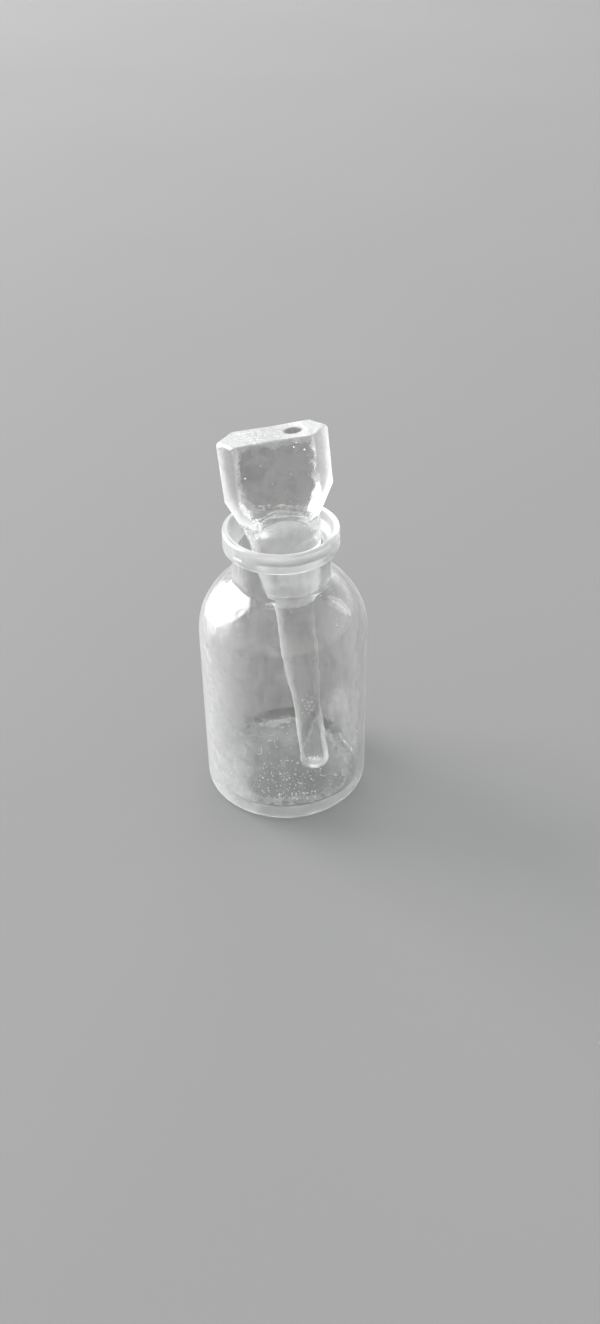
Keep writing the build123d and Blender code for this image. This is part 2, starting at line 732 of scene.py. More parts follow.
@dataclass(frozen=True)
class PressedFaces:
    """The grip's frosty pressed sides round its two clear faces, in metres from its seat."""

    seat: Vector
    along: Vector
    across: Vector
    axis: Vector
    clear_half: float = 6.6 * MM
    clear_top: float = 18.4 * MM
    foot: float = 1.2 * MM
    waist: float = 7.8 * MM
    narrowing: float = 0.5
    fade: float = 1.4 * MM
    rag: float = 4.0 * MM
    roughness: float = 0.42
    grain: float = 0.9

    def frost(self, wiring: "Wiring", point: bpy.types.NodeSocket) -> bpy.types.NodeSocket:
        """Return the mask of the frosty sides.

        Args:
            wiring: The finish's wiring.
            point: The place on the surface.

        Returns:
            1 on the frosty sides and 0 in the clear faces, with a ragged edge between them.
        """
        facing = wiring.add("ShaderNodeTexCoord").outputs["Normal"]
        flat = wiring.vector("DOT_PRODUCT", facing, self.across, out="Value")
        side = wiring.math("SUBTRACT", 1.0, wiring.ramp(wiring.math("ABSOLUTE", flat), 0.8, 0.96))
        offset = wiring.vector("SUBTRACT", point, self.seat)
        sideways = wiring.vector("DOT_PRODUCT", offset, self.along, out="Value")
        height = wiring.vector("DOT_PRODUCT", offset, self.axis, out="Value")
        below = wiring.math("MAXIMUM", wiring.math("SUBTRACT", self.waist, height), 0.0)
        ragged = wiring.add("ShaderNodeTexNoise", Vector=point, Scale=420.0, Detail=4.0)
        spread = wiring.math("MULTIPLY_ADD", ragged.outputs["Fac"], self.rag, -0.5 * self.rag)
        wide = wiring.math("MULTIPLY_ADD", below, self.narrowing, wiring.math("ABSOLUTE", sideways))
        wide = wiring.math("ADD", wide, spread)
        edge = wiring.ramp(wide, self.clear_half, self.clear_half + self.fade)
        high = wiring.math("ADD", height, spread)
        top = wiring.ramp(high, self.clear_top, self.clear_top + self.fade)
        frosty = wiring.math("MAXIMUM", side, wiring.math("MAXIMUM", edge, top))
        grip = wiring.ramp(high, self.foot, self.foot + self.fade)
        return wiring.math("MULTIPLY", frosty, grip)


@dataclass(frozen=True)
class ClearGlass:
    """Clear soda-lime glass with a moulded surface, a film of dust and, in places, frosting and
    painted shade.

    Haze and grime are the strength of its smears and of its film, and bump and relief that of
    its unevenness. Draw is how far the streaks are drawn out, and dust the bloom at its edges.
    """

    name: str
    tint: tuple[float, float, float]
    haze: float
    bump: float
    dust: float
    dust_softness: float
    zones: tuple[GroundZone, ...]
    ior: float = 1.51
    polish: float = 0.006
    grime: float = 0.12
    draw: float = 0.25
    relief: float = 1.0
    white: tuple[float, float, float, float] = (1.0, 1.0, 1.0, 1.0)
    # Painted shade: the colour that the zones' shade darkens the glass towards.
    painted_shade_colour: tuple[float, float, float, float] = (0.1, 0.1, 0.1, 1.0)
    scale: SpeckField | None = None
    pressed: PressedFaces | None = None

    def material(self, effects: GlassEffects) -> bpy.types.Material:
        """Build the finish.

        Args:
            effects: The shared node groups.

        Returns:
            The material.
        """
        made = bpy.data.materials.new(self.name)
        made.use_nodes = True
        made.node_tree.nodes.clear()
        wiring = Wiring(made.node_tree)
        point = wiring.add("ShaderNodeTexCoord").outputs["Object"]
        surface = wiring.group(effects.surface, Point=point, Draw=self.draw).outputs
        roughness = wiring.math("MULTIPLY_ADD", surface["Haze"], self.haze, self.polish)
        height = wiring.math("MULTIPLY", surface["Height"], self.relief)
        white, dark = 0.0, 0.0
        for zone in self.zones:
            mask = zone.mask(wiring, effects, point)
            roughness = self._at_least(wiring, roughness, mask, zone.roughness)
            white = self._at_least(wiring, white, mask, zone.whiteness)
            dark = self._at_least(wiring, dark, mask, zone.shade)
            if zone.swell:
                chill = wiring.add("ShaderNodeTexNoise", Vector=point, Scale=430.0, Detail=4.0)
                rise = wiring.math("MULTIPLY", mask, chill.outputs["Fac"])
                height = wiring.math("MULTIPLY_ADD", rise, zone.swell, height)
        if self.scale:
            specks = self.scale.specks(wiring, point)
            roughness = self._at_least(wiring, roughness, specks, self.scale.roughness)
        if self.pressed:
            frost = self.pressed.frost(wiring, point)
            grain = wiring.add("ShaderNodeTexNoise", Vector=point, Scale=1300.0, Detail=3.0)
            rough = wiring.math("MULTIPLY", frost, grain.outputs["Fac"])
            height = wiring.math("MULTIPLY_ADD", rough, self.pressed.grain, height)
            white = wiring.math("MAXIMUM", white, frost)
            roughness = self._at_least(wiring, roughness, frost, self.pressed.roughness)
        soiled = tuple(part * (1.0 - self.grime) for part in self.tint)
        colour = wiring.blend(surface["Film"], (*self.tint, 1.0), (*soiled, 1.0))
        colour = wiring.blend(white, colour, self.white)
        # Painted shade: where a zone's shade mask is on, the glass's colour is darkened.
        if any(zone.shade for zone in self.zones):
            colour = wiring.blend(dark, colour, self.painted_shade_colour)
        bump = wiring.add("ShaderNodeBump", Strength=self.bump, Distance=MM, Height=height)
        glass = wiring.add(
            "ShaderNodeBsdfPrincipled",
            Base_Color=colour,
            IOR=self.ior,
            Transmission_Weight=1.0,
            Sheen_Weight=self.dust,
            Sheen_Roughness=self.dust_softness,
            Roughness=roughness,
            Normal=bump.outputs["Normal"],
        )
        self._let_lamps_through(wiring, glass)
        return made

    @staticmethod
    def _at_least(wiring: Wiring, value: object, mask: object, amount: float) -> object:
        """Raise a value to an amount where a mask is 1.

        Args:
            wiring: The finish's wiring.
            value: The value so far.
            mask: Where the value is raised.
            amount: What it is raised to; at 0 the value is left alone.

        Returns:
            The raised value.
        """
        if not amount:
            return value
        return wiring.math("MAXIMUM", value, wiring.math("MULTIPLY", mask, amount))

    @staticmethod
    def _let_lamps_through(wiring: Wiring, glass: bpy.types.Node) -> None:
        """Let shadow and bounced light pass straight through, less so at the glass's edges.

        Args:
            wiring: The finish's wiring.
            glass: The shader that the camera sees.
        """
        facing = wiring.add("ShaderNodeLayerWeight", Blend=0.35).outputs["Facing"]
        shade = wiring.blend(facing, (0.97, 0.98, 0.975, 1.0), (0.55, 0.57, 0.57, 1.0))
        clear = wiring.add("ShaderNodeBsdfTransparent", Color=shade)
        path = wiring.add("ShaderNodeLightPath").outputs
        passing = wiring.math("MAXIMUM", path["Is Shadow Ray"], path["Is Diffuse Ray"])
        both = wiring.add("ShaderNodeMixShader", Fac=passing)
        wiring.feed(both.inputs[1], glass.outputs["BSDF"])
        wiring.feed(both.inputs[2], clear.outputs["BSDF"])
        wiring.add("ShaderNodeOutputMaterial", Surface=both.outputs["Shader"])


@dataclass(frozen=True)
class DriedScale:
    """Matt white grains that dried out of what the bottle held."""

    name: str = "dried_scale"
    colour: tuple[float, float, float] = (0.9, 0.89, 0.87)

    def material(self) -> bpy.types.Material:
        """Build the finish."""
        made = bpy.data.materials.new(self.name)
        made.use_nodes = True
        wiring = Wiring(made.node_tree)
        shader = made.node_tree.nodes["Principled BSDF"]
        point = wiring.add("ShaderNodeTexCoord").outputs["Object"]
        cloud = wiring.add("ShaderNodeTexNoise", Vector=point, Scale=700.0)
        dull = tuple(part * 0.8 for part in self.colour)
        shade = wiring.blend(cloud.outputs["Fac"], (*dull, 1.0), (*self.colour, 1.0))
        wiring.feed(shader.inputs["Base Color"], shade)
        shader.inputs["Roughness"].default_value = 0.9
        return made


@dataclass(frozen=True)
class FusedJoint:
    """The place where two pieces are fused: no surface is left there, so light passes freely."""

    name: str = "fused_joint"

    def material(self) -> bpy.types.Material:
        """Build the finish."""
        made = bpy.data.materials.new(self.name)
        made.use_nodes = True
        shader = made.node_tree.nodes["Principled BSDF"]
        shader.inputs["Base Color"].default_value = (0.97, 0.98, 0.975, 1.0)
        shader.inputs["Alpha"].default_value = 0.0
        return made


# ---------------------------------------------------------------------------------------------
# The pieces
# ---------------------------------------------------------------------------------------------


@dataclass
class Bottle:
    """The moulded bottle, in millimetres: its outside and its inside are one closed surface."""

    body_radius: float
    height: float
    heel: float = 2.2
    foot_radius: float = 14.6
    punt: float = 0.9
    shoulder_z: float = 40.6
    shoulder_height: float = 15.6
    neck_radius: float = 10.2
    lip_radius: float = 12.0
    lip_z: float = 60.3
    lip_slope: float = 0.5
    wall: float = 2.0
    floor_z: float = 3.0
    floor_rise: float = 0.5
    floor_corner: float = 1.2
    rim_radius: float = 10.7
    funnel_z: float = 61.8
    bore_top: float = 8.7
    bore_low: float = 8.55
    shoulder_round: float = 0.7
    neck_round: float = 0.5
    lip_round: float = 0.8
    under_lip_round: float = 0.6
    rim_round: float = 0.3
    bore_round: float = 0.6
    steps: int = 224
    inner_swell: float = 0.16
    outer_swell: float = 0.03
    floor_swell_size: float = 5.5
    wall_swell_size: float = 6.5
    wall_swell_draw: float = 0.55
    grit: tuple[Grit, ...] = (
        Grit(170, (-0.5, -7.0), (9.5, 7.0), (0.08, 0.24)),
        Grit(60, (1.8, -12.6), (6.0, 1.6), (0.1, 0.26)),
        Grit(60, (-1.0, -1.0), (13.0, 12.0), (0.06, 0.15)),
    )
    # Partly painted glints: matt white grains on the right shoulder stand in for small sparkles of
    # light there.
    white_grains: tuple[WhiteGrain, ...] = (
        WhiteGrain((11.8, -5.9, 50.6), 0.3),
        WhiteGrain((12.1, -7.2, 49.6), 0.27),
        WhiteGrain((11.1, -10.0, 48.5), 0.22),
        WhiteGrain((11.0, -10.9, 47.7), 0.29),
        WhiteGrain((6.8, -7.3, 53.1), 0.19),
        WhiteGrain((7.8, -7.2, 52.7), 0.16),
        WhiteGrain((9.8, -6.1, 52.0), 0.18),
        WhiteGrain((9.9, -4.9, 52.4), 0.16),
    )
    seeds: tuple[Seed, ...] = (
        Seed((-13.4, 10.6, 30.0), 0.2, 1.6),
        Seed((6.0, 16.0, 22.0), 0.18, 1.4),
        Seed((-4.5, -16.4, 12.5), 0.14),
    )

    @classmethod
    def from_frame(cls) -> "Bottle":
        """Take the driving sizes from the frame."""
        low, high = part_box("bottle")
        return cls((high.x - low.x) / 2 / MM, high.z / MM)

    @property
    def inner_radius(self) -> float:
        """Radius of the straight inside."""
        return self.body_radius - self.wall

    @property
    def inner_height(self) -> float:
        """Height of the inside of the shoulder's dome."""
        return self.shoulder_height - self.wall

    def outline(self) -> Outline:
        """Draw the half section, from the underside's middle round to the floor's middle."""
        neck_angle = math.degrees(math.acos(self.neck_radius / self.body_radius))
        bore_angle = math.degrees(math.acos(self.bore_low / self.inner_radius))
        dome = (0.0, self.shoulder_z)
        corner_middle = (self.inner_radius - self.floor_corner, self.floor_z + self.floor_corner)
        line = Outline().to(0.0, self.punt)
        line.follow(self.underside, 16)
        line.to(self.body_radius - self.heel, 0.0)
        line.arc(
            (self.body_radius - self.heel, self.heel), self.heel, self.heel, -90.0, 0.0, 8
        )
        line.line(self.body_radius, self.shoulder_z, 44)
        line.arc(dome, self.body_radius, self.shoulder_height, 0.0, neck_angle, 40)
        line.corners.append((line.chain[-1], self.shoulder_round))
        line.line(self.neck_radius, self.lip_z, 10, self.neck_round)
        line.to(self.lip_radius, self.lip_z + self.lip_slope, self.under_lip_round)
        line.line(self.lip_radius, self.height, 8, self.lip_round)
        line.to(self.rim_radius, self.height, self.rim_round)
        line.follow(self.mouth, 12)
        bore_z = self.shoulder_z + self.inner_height * math.sin(math.radians(bore_angle))
        line.line(self.bore_low, bore_z, 18, self.bore_round)
        line.arc(dome, self.inner_radius, self.inner_height, bore_angle, 0.0, 36)
        line.line(self.inner_radius, self.floor_z + self.floor_corner, 44)
        line.arc(corner_middle, self.floor_corner, self.floor_corner, 0.0, -90.0, 12)
        line.follow(self.inside_floor, 32)
        return line

    def underside(self, share: float) -> tuple[float, float]:
        """Return a place on the hollow underside, from its middle out to the foot."""
        return self.foot_radius * share, self.punt * (1.0 - share * share)

    def mouth(self, share: float) -> tuple[float, float]:
        """Return a place in the dished mouth, from the rim down to the bore."""
        angle = math.radians(90.0 * share)
        across, deep = self.rim_radius - self.bore_top, self.height - self.funnel_z
        return (
            self.rim_radius - across * (1.0 - math.cos(angle)),
            self.height - deep * math.sin(angle),
        )

    def inside_floor(self, share: float) -> tuple[float, float]:
        """Return a place on the inside floor, from its corner to the middle."""
        radius = (self.inner_radius - self.floor_corner) * (1.0 - share)
        return radius, self.floor_height(radius)

    def floor_height(self, radius: float) -> float:
        """Return the height of the gently domed inside floor at a distance from the axis."""
        share = min(radius / (self.inner_radius - self.floor_corner), 1.0)
        return self.floor_z + self.floor_rise * (1.0 - share * share)

    def swell(self, point: Vector) -> Vector:
        """Move a point of the smooth bottle to where the uneven glass has it.

        Args:
            point: Place on the smooth surface.

        Returns:
            Its new place.
        """
        radius = math.hypot(point.x, point.y)
        inside = radius < self.inner_radius + 0.3 and point.z > self.floor_z - 0.2
        dome_top = self.shoulder_z + self.inner_height - 2.0
        if radius < MERGE_DISTANCE or point.z > dome_top:
            return point
        if inside and point.z < self.floor_z + self.floor_corner * 0.7:
            fade = min(1.0, (self.inner_radius - radius) / 2.0)
            rise = ripple(point, self.floor_swell_size, self.inner_swell, 3.1)
            return point + UP * rise * max(fade, 0.0)
        if not inside and point.z < self.heel * 2.0:
            return point
        drawn = Vector((point.x, point.y, point.z * self.wall_swell_draw))
        outward = Vector((point.x, point.y, 0.0)) / radius
        if inside:
            return point + outward * ripple(drawn, self.wall_swell_size, self.inner_swell, 7.7)
        swell = ripple(drawn, self.wall_swell_size, self.outer_swell, 1.3)
        return point + outward * min(swell, 0.0)

    def build(self) -> bpy.types.Object:
        """Blow the bottle and return it."""
        mesh = self.outline().turn(self.steps)
        for vert in mesh.verts:
            vert.co = self.swell(vert.co)
        for flaw in self.seeds + self.white_grains:
            flaw.set_into(mesh)
        for patch in self.grit:
            patch.sprinkle(mesh, self.floor_height)
        return to_object(mesh, Piece.BOTTLE, Matrix.Scale(MM, 4))

    def finish(self) -> ClearGlass:
        """Return the bottle's finish, with its bore ground for the plug."""
        return ClearGlass(
            "bottle_clear_glass",
            tint=(0.89, 0.89, 0.885),
            grime=0.2,
            bump=0.35,
            relief=0.18,
            haze=0.2,
            dust=0.8,
            dust_softness=0.5,
            zones=self.worn_zones() + self.floor_zones(),
            scale=SpeckField(low=2.4 * MM, high=4.2 * MM, reach=14.5 * MM),
        )

    def worn_zones(self) -> tuple[GroundZone, ...]:
        """Return the ground bore and lip, the handled side and the side that chilled first."""
        axis = Vector()
        bore = GroundZone(
            axis,
            UP,
            low=52.3 * MM,
            high=60.2 * MM,
            reach=(self.bore_top + 0.25) * MM,
            roughness=0.16,
            whiteness=0.15,
        )
        lip = GroundZone(
            axis,
            UP,
            low=60.0 * MM,
            high=EVERYWHERE,
            edge=0.6 * MM,
            roughness=0.28,
            whiteness=0.7,
        )
        handled = GroundZone(
            axis,
            Vector((-0.94, -0.34, 0.0)),
            low=11.2 * MM,
            high=EVERYWHERE,
            edge=2.0 * MM,
            grain=330.0,
            rag=9.0 * MM,
            roughness=0.24,
            whiteness=0.6,
        )
        chilled = GroundZone(
            axis,
            Vector((-1.0, 0.0, 0.0)),
            low=5.0 * MM,
            high=EVERYWHERE,
            edge=2.0 * MM,
            grain=200.0,
            rag=3.0 * MM,
            swell=0.6,
        )
        return bore, lip, handled, chilled

    def floor_zones(self) -> tuple[GroundZone, ...]:
        """Return the painted shade at the inside corner, the tide line beside it and the painted
        shade on the floor.
        """
        axis = Vector()
        # Painted shade: a dark ring round the inside corner, where the curved glass shows a dark
        # line.
        corner = GroundZone(
            axis,
            Vector((0.0, -0.047, 0.999)),
            low=2.2 * MM,
            high=4.55 * MM,
            core=15.0 * MM,
            reach=16.4 * MM,
            edge=0.3 * MM,
            shade=0.8,
        )
        tide = GroundZone(
            axis,
            UP,
            low=2.6 * MM,
            high=3.9 * MM,
            core=13.2 * MM,
            reach=15.0 * MM,
            grain=300.0,
            rag=4.0 * MM,
            roughness=0.4,
            whiteness=1.0,
        )
        # Painted shade: the inside floor's glass is darkened to show the shaded ground beneath the
        # bottle.
        floor = GroundZone(
            axis,
            UP,
            low=2.7 * MM,
            high=3.9 * MM,
            reach=14.6 * MM,
            edge=0.3 * MM,
            grain=260.0,
            rag=2.0 * MM,
            shade=0.2,
        )
        return corner, tide, floor


@dataclass(frozen=True)
class GripLevel:
    """One level of the grip's hexagon: its middle, half its length, its height and its slant."""

    middle: float
    half_length: float
    height: float
    slant: float


@dataclass
class Stopper:
    """The pressed stopper, in millimetres from its seat: grip, collar and ground plug."""

    seat: Seat
    half_thick: float = 4.4
    end_point: float = 2.9
    foot: GripLevel = GripLevel(-0.7, 7.7, 0.6, 0.0)
    waist: GripLevel = GripLevel(-0.1, 11.1, 7.6, 3.4)
    top: GripLevel = GripLevel(0.0, 11.1, 20.0, 1.6)
    top_round: float = 0.9
    edge_blend: float = 0.55
    dimple_place: tuple[float, float] = (4.2, -0.3)
    dimple_half: tuple[float, float] = (1.9, 1.5)
    dimple_depth: float = 1.8
    dimple_shaded: float = 1.75
    collar_radius: float = 7.6
    collar_z: float = 0.8
    cone_slope: float = 1.44
    collar_blend: float = 0.9
    plug_top_z: float = -0.5
    plug_low_radius: float = 5.8
    plug_low_z: float = -13.2
    plug_round: float = 0.4
    ground_below: float = -3.4
    collar_clear_to: float = 3.0
    blank_radius: float = 10.0
    blank_waist_z: float = 8.2
    gathering: float = 0.75
    steps: int = 288
    swell: float = 0.05
    swell_size: float = 3.5
    seeds: tuple[Seed, ...] = (
        Seed((3.9, -2.6, 17.9), 0.2),
        Seed((5.9, -2.2, 16.9), 0.16),
        Seed((-3.0, 1.2, 14.0), 0.13),
        Seed((2.6, -1.0, 12.0), 0.12),
        Seed((-6.3, -1.5, 12.4), 0.18, 1.5),
        Seed((0.6, 1.4, 4.8), 0.24, 0.7),
    )
    white_grains: tuple[WhiteGrain, ...] = (
        WhiteGrain((4.1, -4.2, 17.4), 0.14),
        WhiteGrain((6.1, -4.2, 16.2), 0.12),
        WhiteGrain((-1.2, -4.2, 11.4), 0.09),
        WhiteGrain((1.6, -4.2, 9.6), 0.08),
        WhiteGrain((2.8, -4.2, 12.8), 0.08),
    )
    known: dict[tuple[float, float], float] = field(default_factory=dict)

    def level(self, height: float) -> GripLevel:
        """Return the grip's hexagon at a height, running straight between its three levels.

        Args:
            height: Height on the grip's axis.

        Returns:
            The hexagon there.
        """
        waist = self.waist.height
        low, high = (self.foot, self.waist) if height < waist else (self.waist, self.top)
        share = max((height - low.height) / (high.height - low.height), -0.4)
        return GripLevel(
            mix(low.middle, high.middle, share),
            mix(low.half_length, high.half_length, share),
            height,
            mix(low.slant, high.slant, share),
        )

    def corner_angles(self, height: float) -> list[float]:
        """Return the directions of the hexagon's corners, all the way round.

        Args:
            height: Height on the grip's axis.

        Returns:
            The directions, from 0 to a full turn.
        """
        here = self.level(height)
        straight = here.half_length - self.end_point
        right = math.atan2(self.half_thick, here.middle + straight)
        left = math.pi - math.atan2(self.half_thick, straight - here.middle)
        return [0.0, right, left, math.pi, math.tau - left, math.tau - right, math.tau]

    def tablet_reach(self, angle: float, height: float) -> float:
        """Return how far the hexagonal grip reaches from the axis.

        Args:
            angle: Direction, in radians.
            height: Height on the axis.

        Returns:
            The distance to its side.
        """
        here = self.level(height)
        middle, half = here.middle, here.half_length
        slope = math.hypot(self.end_point, self.half_thick)
        reach = math.inf
        for side_x, side_y in ((1, 1), (1, -1), (-1, 1), (-1, -1), (0, 1), (0, -1)):
            if side_x:
                facing_x = side_x * self.half_thick / slope
                facing_y = side_y * self.end_point / slope
                distance = half * self.half_thick / slope + facing_x * middle
            else:
                facing_x, facing_y, distance = 0.0, side_y, self.half_thick
            facing = facing_x * math.cos(angle) + facing_y * math.sin(angle)
            if facing > 0.02:
                reach = soft_min(reach, distance / facing, self.edge_blend)
        return reach

    def round_reach(self, height: float) -> float:
        """Return the radius of the collar's cone, the collar or the plug.

        Args:
            height: Height on the axis.

        Returns:
            The radius there.
        """
        if height > self.plug_top_z:
            cone = self.collar_radius - (height - self.collar_z) * self.cone_slope
            return max(soft_min(cone, self.collar_radius, 1.0), 0.0)
        share = (height - self.plug_top_z) / (self.plug_low_z - self.plug_top_z)
        return mix(self.collar_radius, self.plug_low_radius, share)

    def reach(self, angle: float, height: float) -> float:
        """Return how far the whole stopper reaches, and keep it for the next time.

        Args:
            angle: Direction, in radians.
            height: Height on the axis.

        Returns:
            The distance from its axis to its surface.
        """
        key = (round(angle, 5), round(height, 4))
        if key not in self.known:
            self.known[key] = self.measure(*key)
        return self.known[key]

    def measure(self, angle: float, height: float) -> float:
        """Work out how far the whole stopper reaches from its axis."""
        round_part = self.round_reach(height)
        if height < self.foot.height - 2.5:
            return round_part
        return soft_max(self.tablet_reach(angle, height), round_part, self.collar_blend)

    def blank(self) -> bmesh.types.BMesh:
        """Turn the plain round gob of glass that the stopper is pressed from."""
        radius, low, high = self.blank_radius, self.plug_low_z, self.top.height
        line = Outline().to(0.0, low).line(radius - self.plug_round, low, 14)
        line.arc(
            (radius - self.plug_round, low + self.plug_round),
            self.plug_round,
            self.plug_round,
            -90.0,
            0.0,
            4,
        )
        line.line(radius, self.plug_top_z, 26)
        line.line(radius, self.blank_waist_z, 64)
        line.line(radius, high - self.top_round, 44)
        line.arc(
            (radius - self.top_round, high - self.top_round),
            self.top_round,
            self.top_round,
            0.0,
            90.0,
            8,
        )
        line.line(0.0, high, 56)
        return line.turn(self.steps)

    def crowd(self, angle: float, height: float) -> float:
        """Gather the blank's columns towards the grip's corners.

        Args:
            angle: Direction of a column of the round blank.
            height: Height on the axis.

        Returns:
            The direction that the column moves to.
        """
        waist = self.waist.height
        even = self.corner_angles(waist)
        here = self.corner_angles(min(max(height, self.foot.height), waist))
        angle %= math.tau
        i = next(i for i in range(6) if angle <= even[i + 1])
        share = (angle - even[i]) / (even[i + 1] - even[i])
        share -= self.gathering * math.sin(math.tau * share) / math.tau
        return mix(here[i], here[i + 1], share)

    def press(self, point: Vector) -> Vector:
        """Move a point of the round blank to the pressed stopper's surface.

        Args:
            point: Place on the blank.

        Returns:
            Its place on the stopper.
        """
        radius = math.hypot(point.x, point.y)
        angle = self.crowd(math.atan2(point.y, point.x), point.z)
        full = self.reach(angle, point.z)
        edge = self.top_round if point.z > 0.0 else self.plug_round
        flat = self.blank_radius - edge
        new = (full - edge) * radius / flat if radius <= flat else full - (self.blank_radius - radius)
        slant = math.tan(math.radians(max(self.level(point.z).slant, 0.0)))
        x, y = new * math.cos(angle), new * math.sin(angle)
        pressed = Vector((x, y, point.z + x * slant))
        if point.z > self.top.height - TOUCH:
            pressed.z -= self.dimple(x, y)
        if point.z > self.plug_low_z + 1.0 and radius > flat:
            outward = Vector((math.cos(angle), math.sin(angle), 0.0))
            pressed += outward * min(ripple(pressed, self.swell_size, self.swell, 5.2), 0.0)
        return pressed

    def dimple(self, x: float, y: float) -> float:
        """Return the depth of the open blister in the top.

        Args:
            x: Place along the grip.
            y: Place across the grip.

        Returns:
            The depth there, which is 0 outside the blister.
        """
        away_x = (x - self.dimple_place[0]) / self.dimple_half[0]
        away_y = (y - self.dimple_place[1]) / self.dimple_half[1]
        away = away_x * away_x + away_y * away_y
        return self.dimple_depth * (1.0 - away * away) if away < 1.0 else 0.0

    def build(self) -> bpy.types.Object:
        """Press the stopper and return it."""
        mesh = self.blank()
        for vert in mesh.verts:
            vert.co = self.press(vert.co)
        mesh.normal_update()
        open_joint(mesh, self.plug_low_z)
        for flaw in self.seeds + self.white_grains:
            flaw.set_into(mesh)
        return to_object(mesh, Piece.STOPPER, self.seat.matrix)

    def finish(self) -> ClearGlass:
        """Return the stopper's finish, with its plug ground, its top left as pressed and painted
        shade in the blister.
        """
        seat, axis, place = self.seat.point, self.seat.axis, self.seat.matrix
        plug = GroundZone(
            seat,
            axis,
            low=(self.plug_low_z - 3.0) * MM,
            high=self.ground_below * MM,
            roughness=0.42,
            whiteness=1.0,
        )
        collar = GroundZone(
            seat,
            axis,
            low=self.ground_below * MM,
            high=self.collar_clear_to * MM,
            grain=500.0,
            rag=1.0 * MM,
            roughness=0.16,
            whiteness=0.35,
            swell=1.3,
        )
        # Painted shade: the open blister in the top is darkened, as its hollow lies in shade.
        dimple = GroundZone(
            place @ Vector((*self.dimple_place, self.top.height)),
            axis,
            low=-2.4 * MM,
            high=1.0 * MM,
            reach=self.dimple_shaded * MM,
            roughness=0.1,
            shade=0.6,
        )
        along, across = place.col[0].xyz.normalized(), place.col[1].xyz.normalized()
        return ClearGlass(
            "stopper_pressed_glass",
            # The dark tint is partly painted shade: it dims the clear faces, as a dark surrounding
            # seen through them would.
            tint=(0.72, 0.72, 0.715),
            grime=0.25,
            draw=1.0,
            bump=0.4,
            haze=0.16,
            dust=0.45,
            dust_softness=0.35,
            zones=(plug, collar, dimple),
            pressed=PressedFaces(seat, along, across, axis),
        )


@dataclass
class DroppingRod:
    """The solid dropping rod, in millimetres from the stopper's seat."""

    seat: Seat
    flare_radius: float = 5.6
    flare_top_z: float = -13.2
    flare_low_z: float = -19.5
    top_radius: float = 4.0
    radius: float = 3.15
    taper_start_z: float = -20.5
    taper_end_z: float = -48.0
    tip_z: float = -60.0
    tip_height: float = 2.7
    ground_to: float = -17.6
    milky_tip: float = 0.9
    steps: int = 96
    seeds: tuple[Seed, ...] = (
        Seed((0.6, -1.9, -41.6), 0.5, 1.3),
        Seed((-0.5, -1.8, -40.7), 0.3, 1.5),
        Seed((-0.3, -1.9, -42.7), 0.36),
        Seed((1.5, -1.5, -42.9), 0.3, 1.4),
        Seed((0.7, -1.6, -43.7), 0.34, 1.2),
        Seed((0.2, -1.4, -39.7), 0.2),
        Seed((-1.1, 0.6, -31.0), 0.16, 2.0),
    )
    # The cluster's white grains are partly crushed glass and partly painted glints of its bubbles.
    white_grains: tuple[WhiteGrain, ...] = (
        WhiteGrain((-0.9, -2.6, -40.5), 0.31, 1.7),
        WhiteGrain((0.0, -2.7, -40.9), 0.23),
        WhiteGrain((1.0, -2.7, -41.2), 0.39, 0.6),
        WhiteGrain((-0.6, -2.8, -41.7), 0.26, 0.8),
        WhiteGrain((0.4, -2.8, -42.0), 0.29, 1.8),
        WhiteGrain((1.3, -2.6, -42.4), 0.22),
        WhiteGrain((-0.2, -2.8, -42.8), 0.22, 1.4),
        WhiteGrain((0.8, -2.7, -43.3), 0.33, 0.7),
        WhiteGrain((0.1, -2.8, -43.8), 0.20),
    )

    def outline(self) -> Outline:
        """Draw the half section, from the middle of the fused end round to the tip."""
        line = Outline().to(0.0, self.flare_top_z).line(self.flare_radius, self.flare_top_z, 6)
        line.ease(self.top_radius, self.flare_low_z, 20)
        line.line(self.top_radius, self.taper_start_z, 10)
        line.ease(self.radius, self.taper_end_z, 20)
        tip_middle = self.tip_z + self.tip_height
        line.line(self.radius, tip_middle, 24)
        line.arc((0.0, tip_middle), self.radius, self.tip_height, 0.0, -90.0, 20)
        return line

    def build(self) -> bpy.types.Object:
        """Draw the rod and return it."""
        mesh = self.outline().turn(self.steps)
        open_joint(mesh, self.flare_top_z)
        for flaw in self.seeds + self.white_grains:
            flaw.set_into(mesh)
        return to_object(mesh, Piece.ROD, self.seat.matrix)

    def finish(self) -> ClearGlass:
        """Return the rod's finish, with the flare ground along with the plug."""
        seat, axis = self.seat.point, self.seat.axis
        flare = GroundZone(
            seat,
            axis,
            low=self.ground_to * MM,
            high=EVERYWHERE,
            edge=1.2 * MM,
            roughness=0.42,
            whiteness=1.0,
        )
        tip = GroundZone(
            seat,
            axis,
            low=-EVERYWHERE,
            high=(self.tip_z + self.milky_tip) * MM,
            edge=1.5 * MM,
            roughness=0.25,
            whiteness=0.7,
        )
        return ClearGlass(
            "rod_drawn_glass",
            tint=(0.9, 0.9, 0.895),
            bump=0.15,
            haze=0.12,
            dust=1.0,
            dust_softness=0.7,
            zones=(flare, tip),
        )


# ---------------------------------------------------------------------------------------------
# Stage, light and camera
# ---------------------------------------------------------------------------------------------


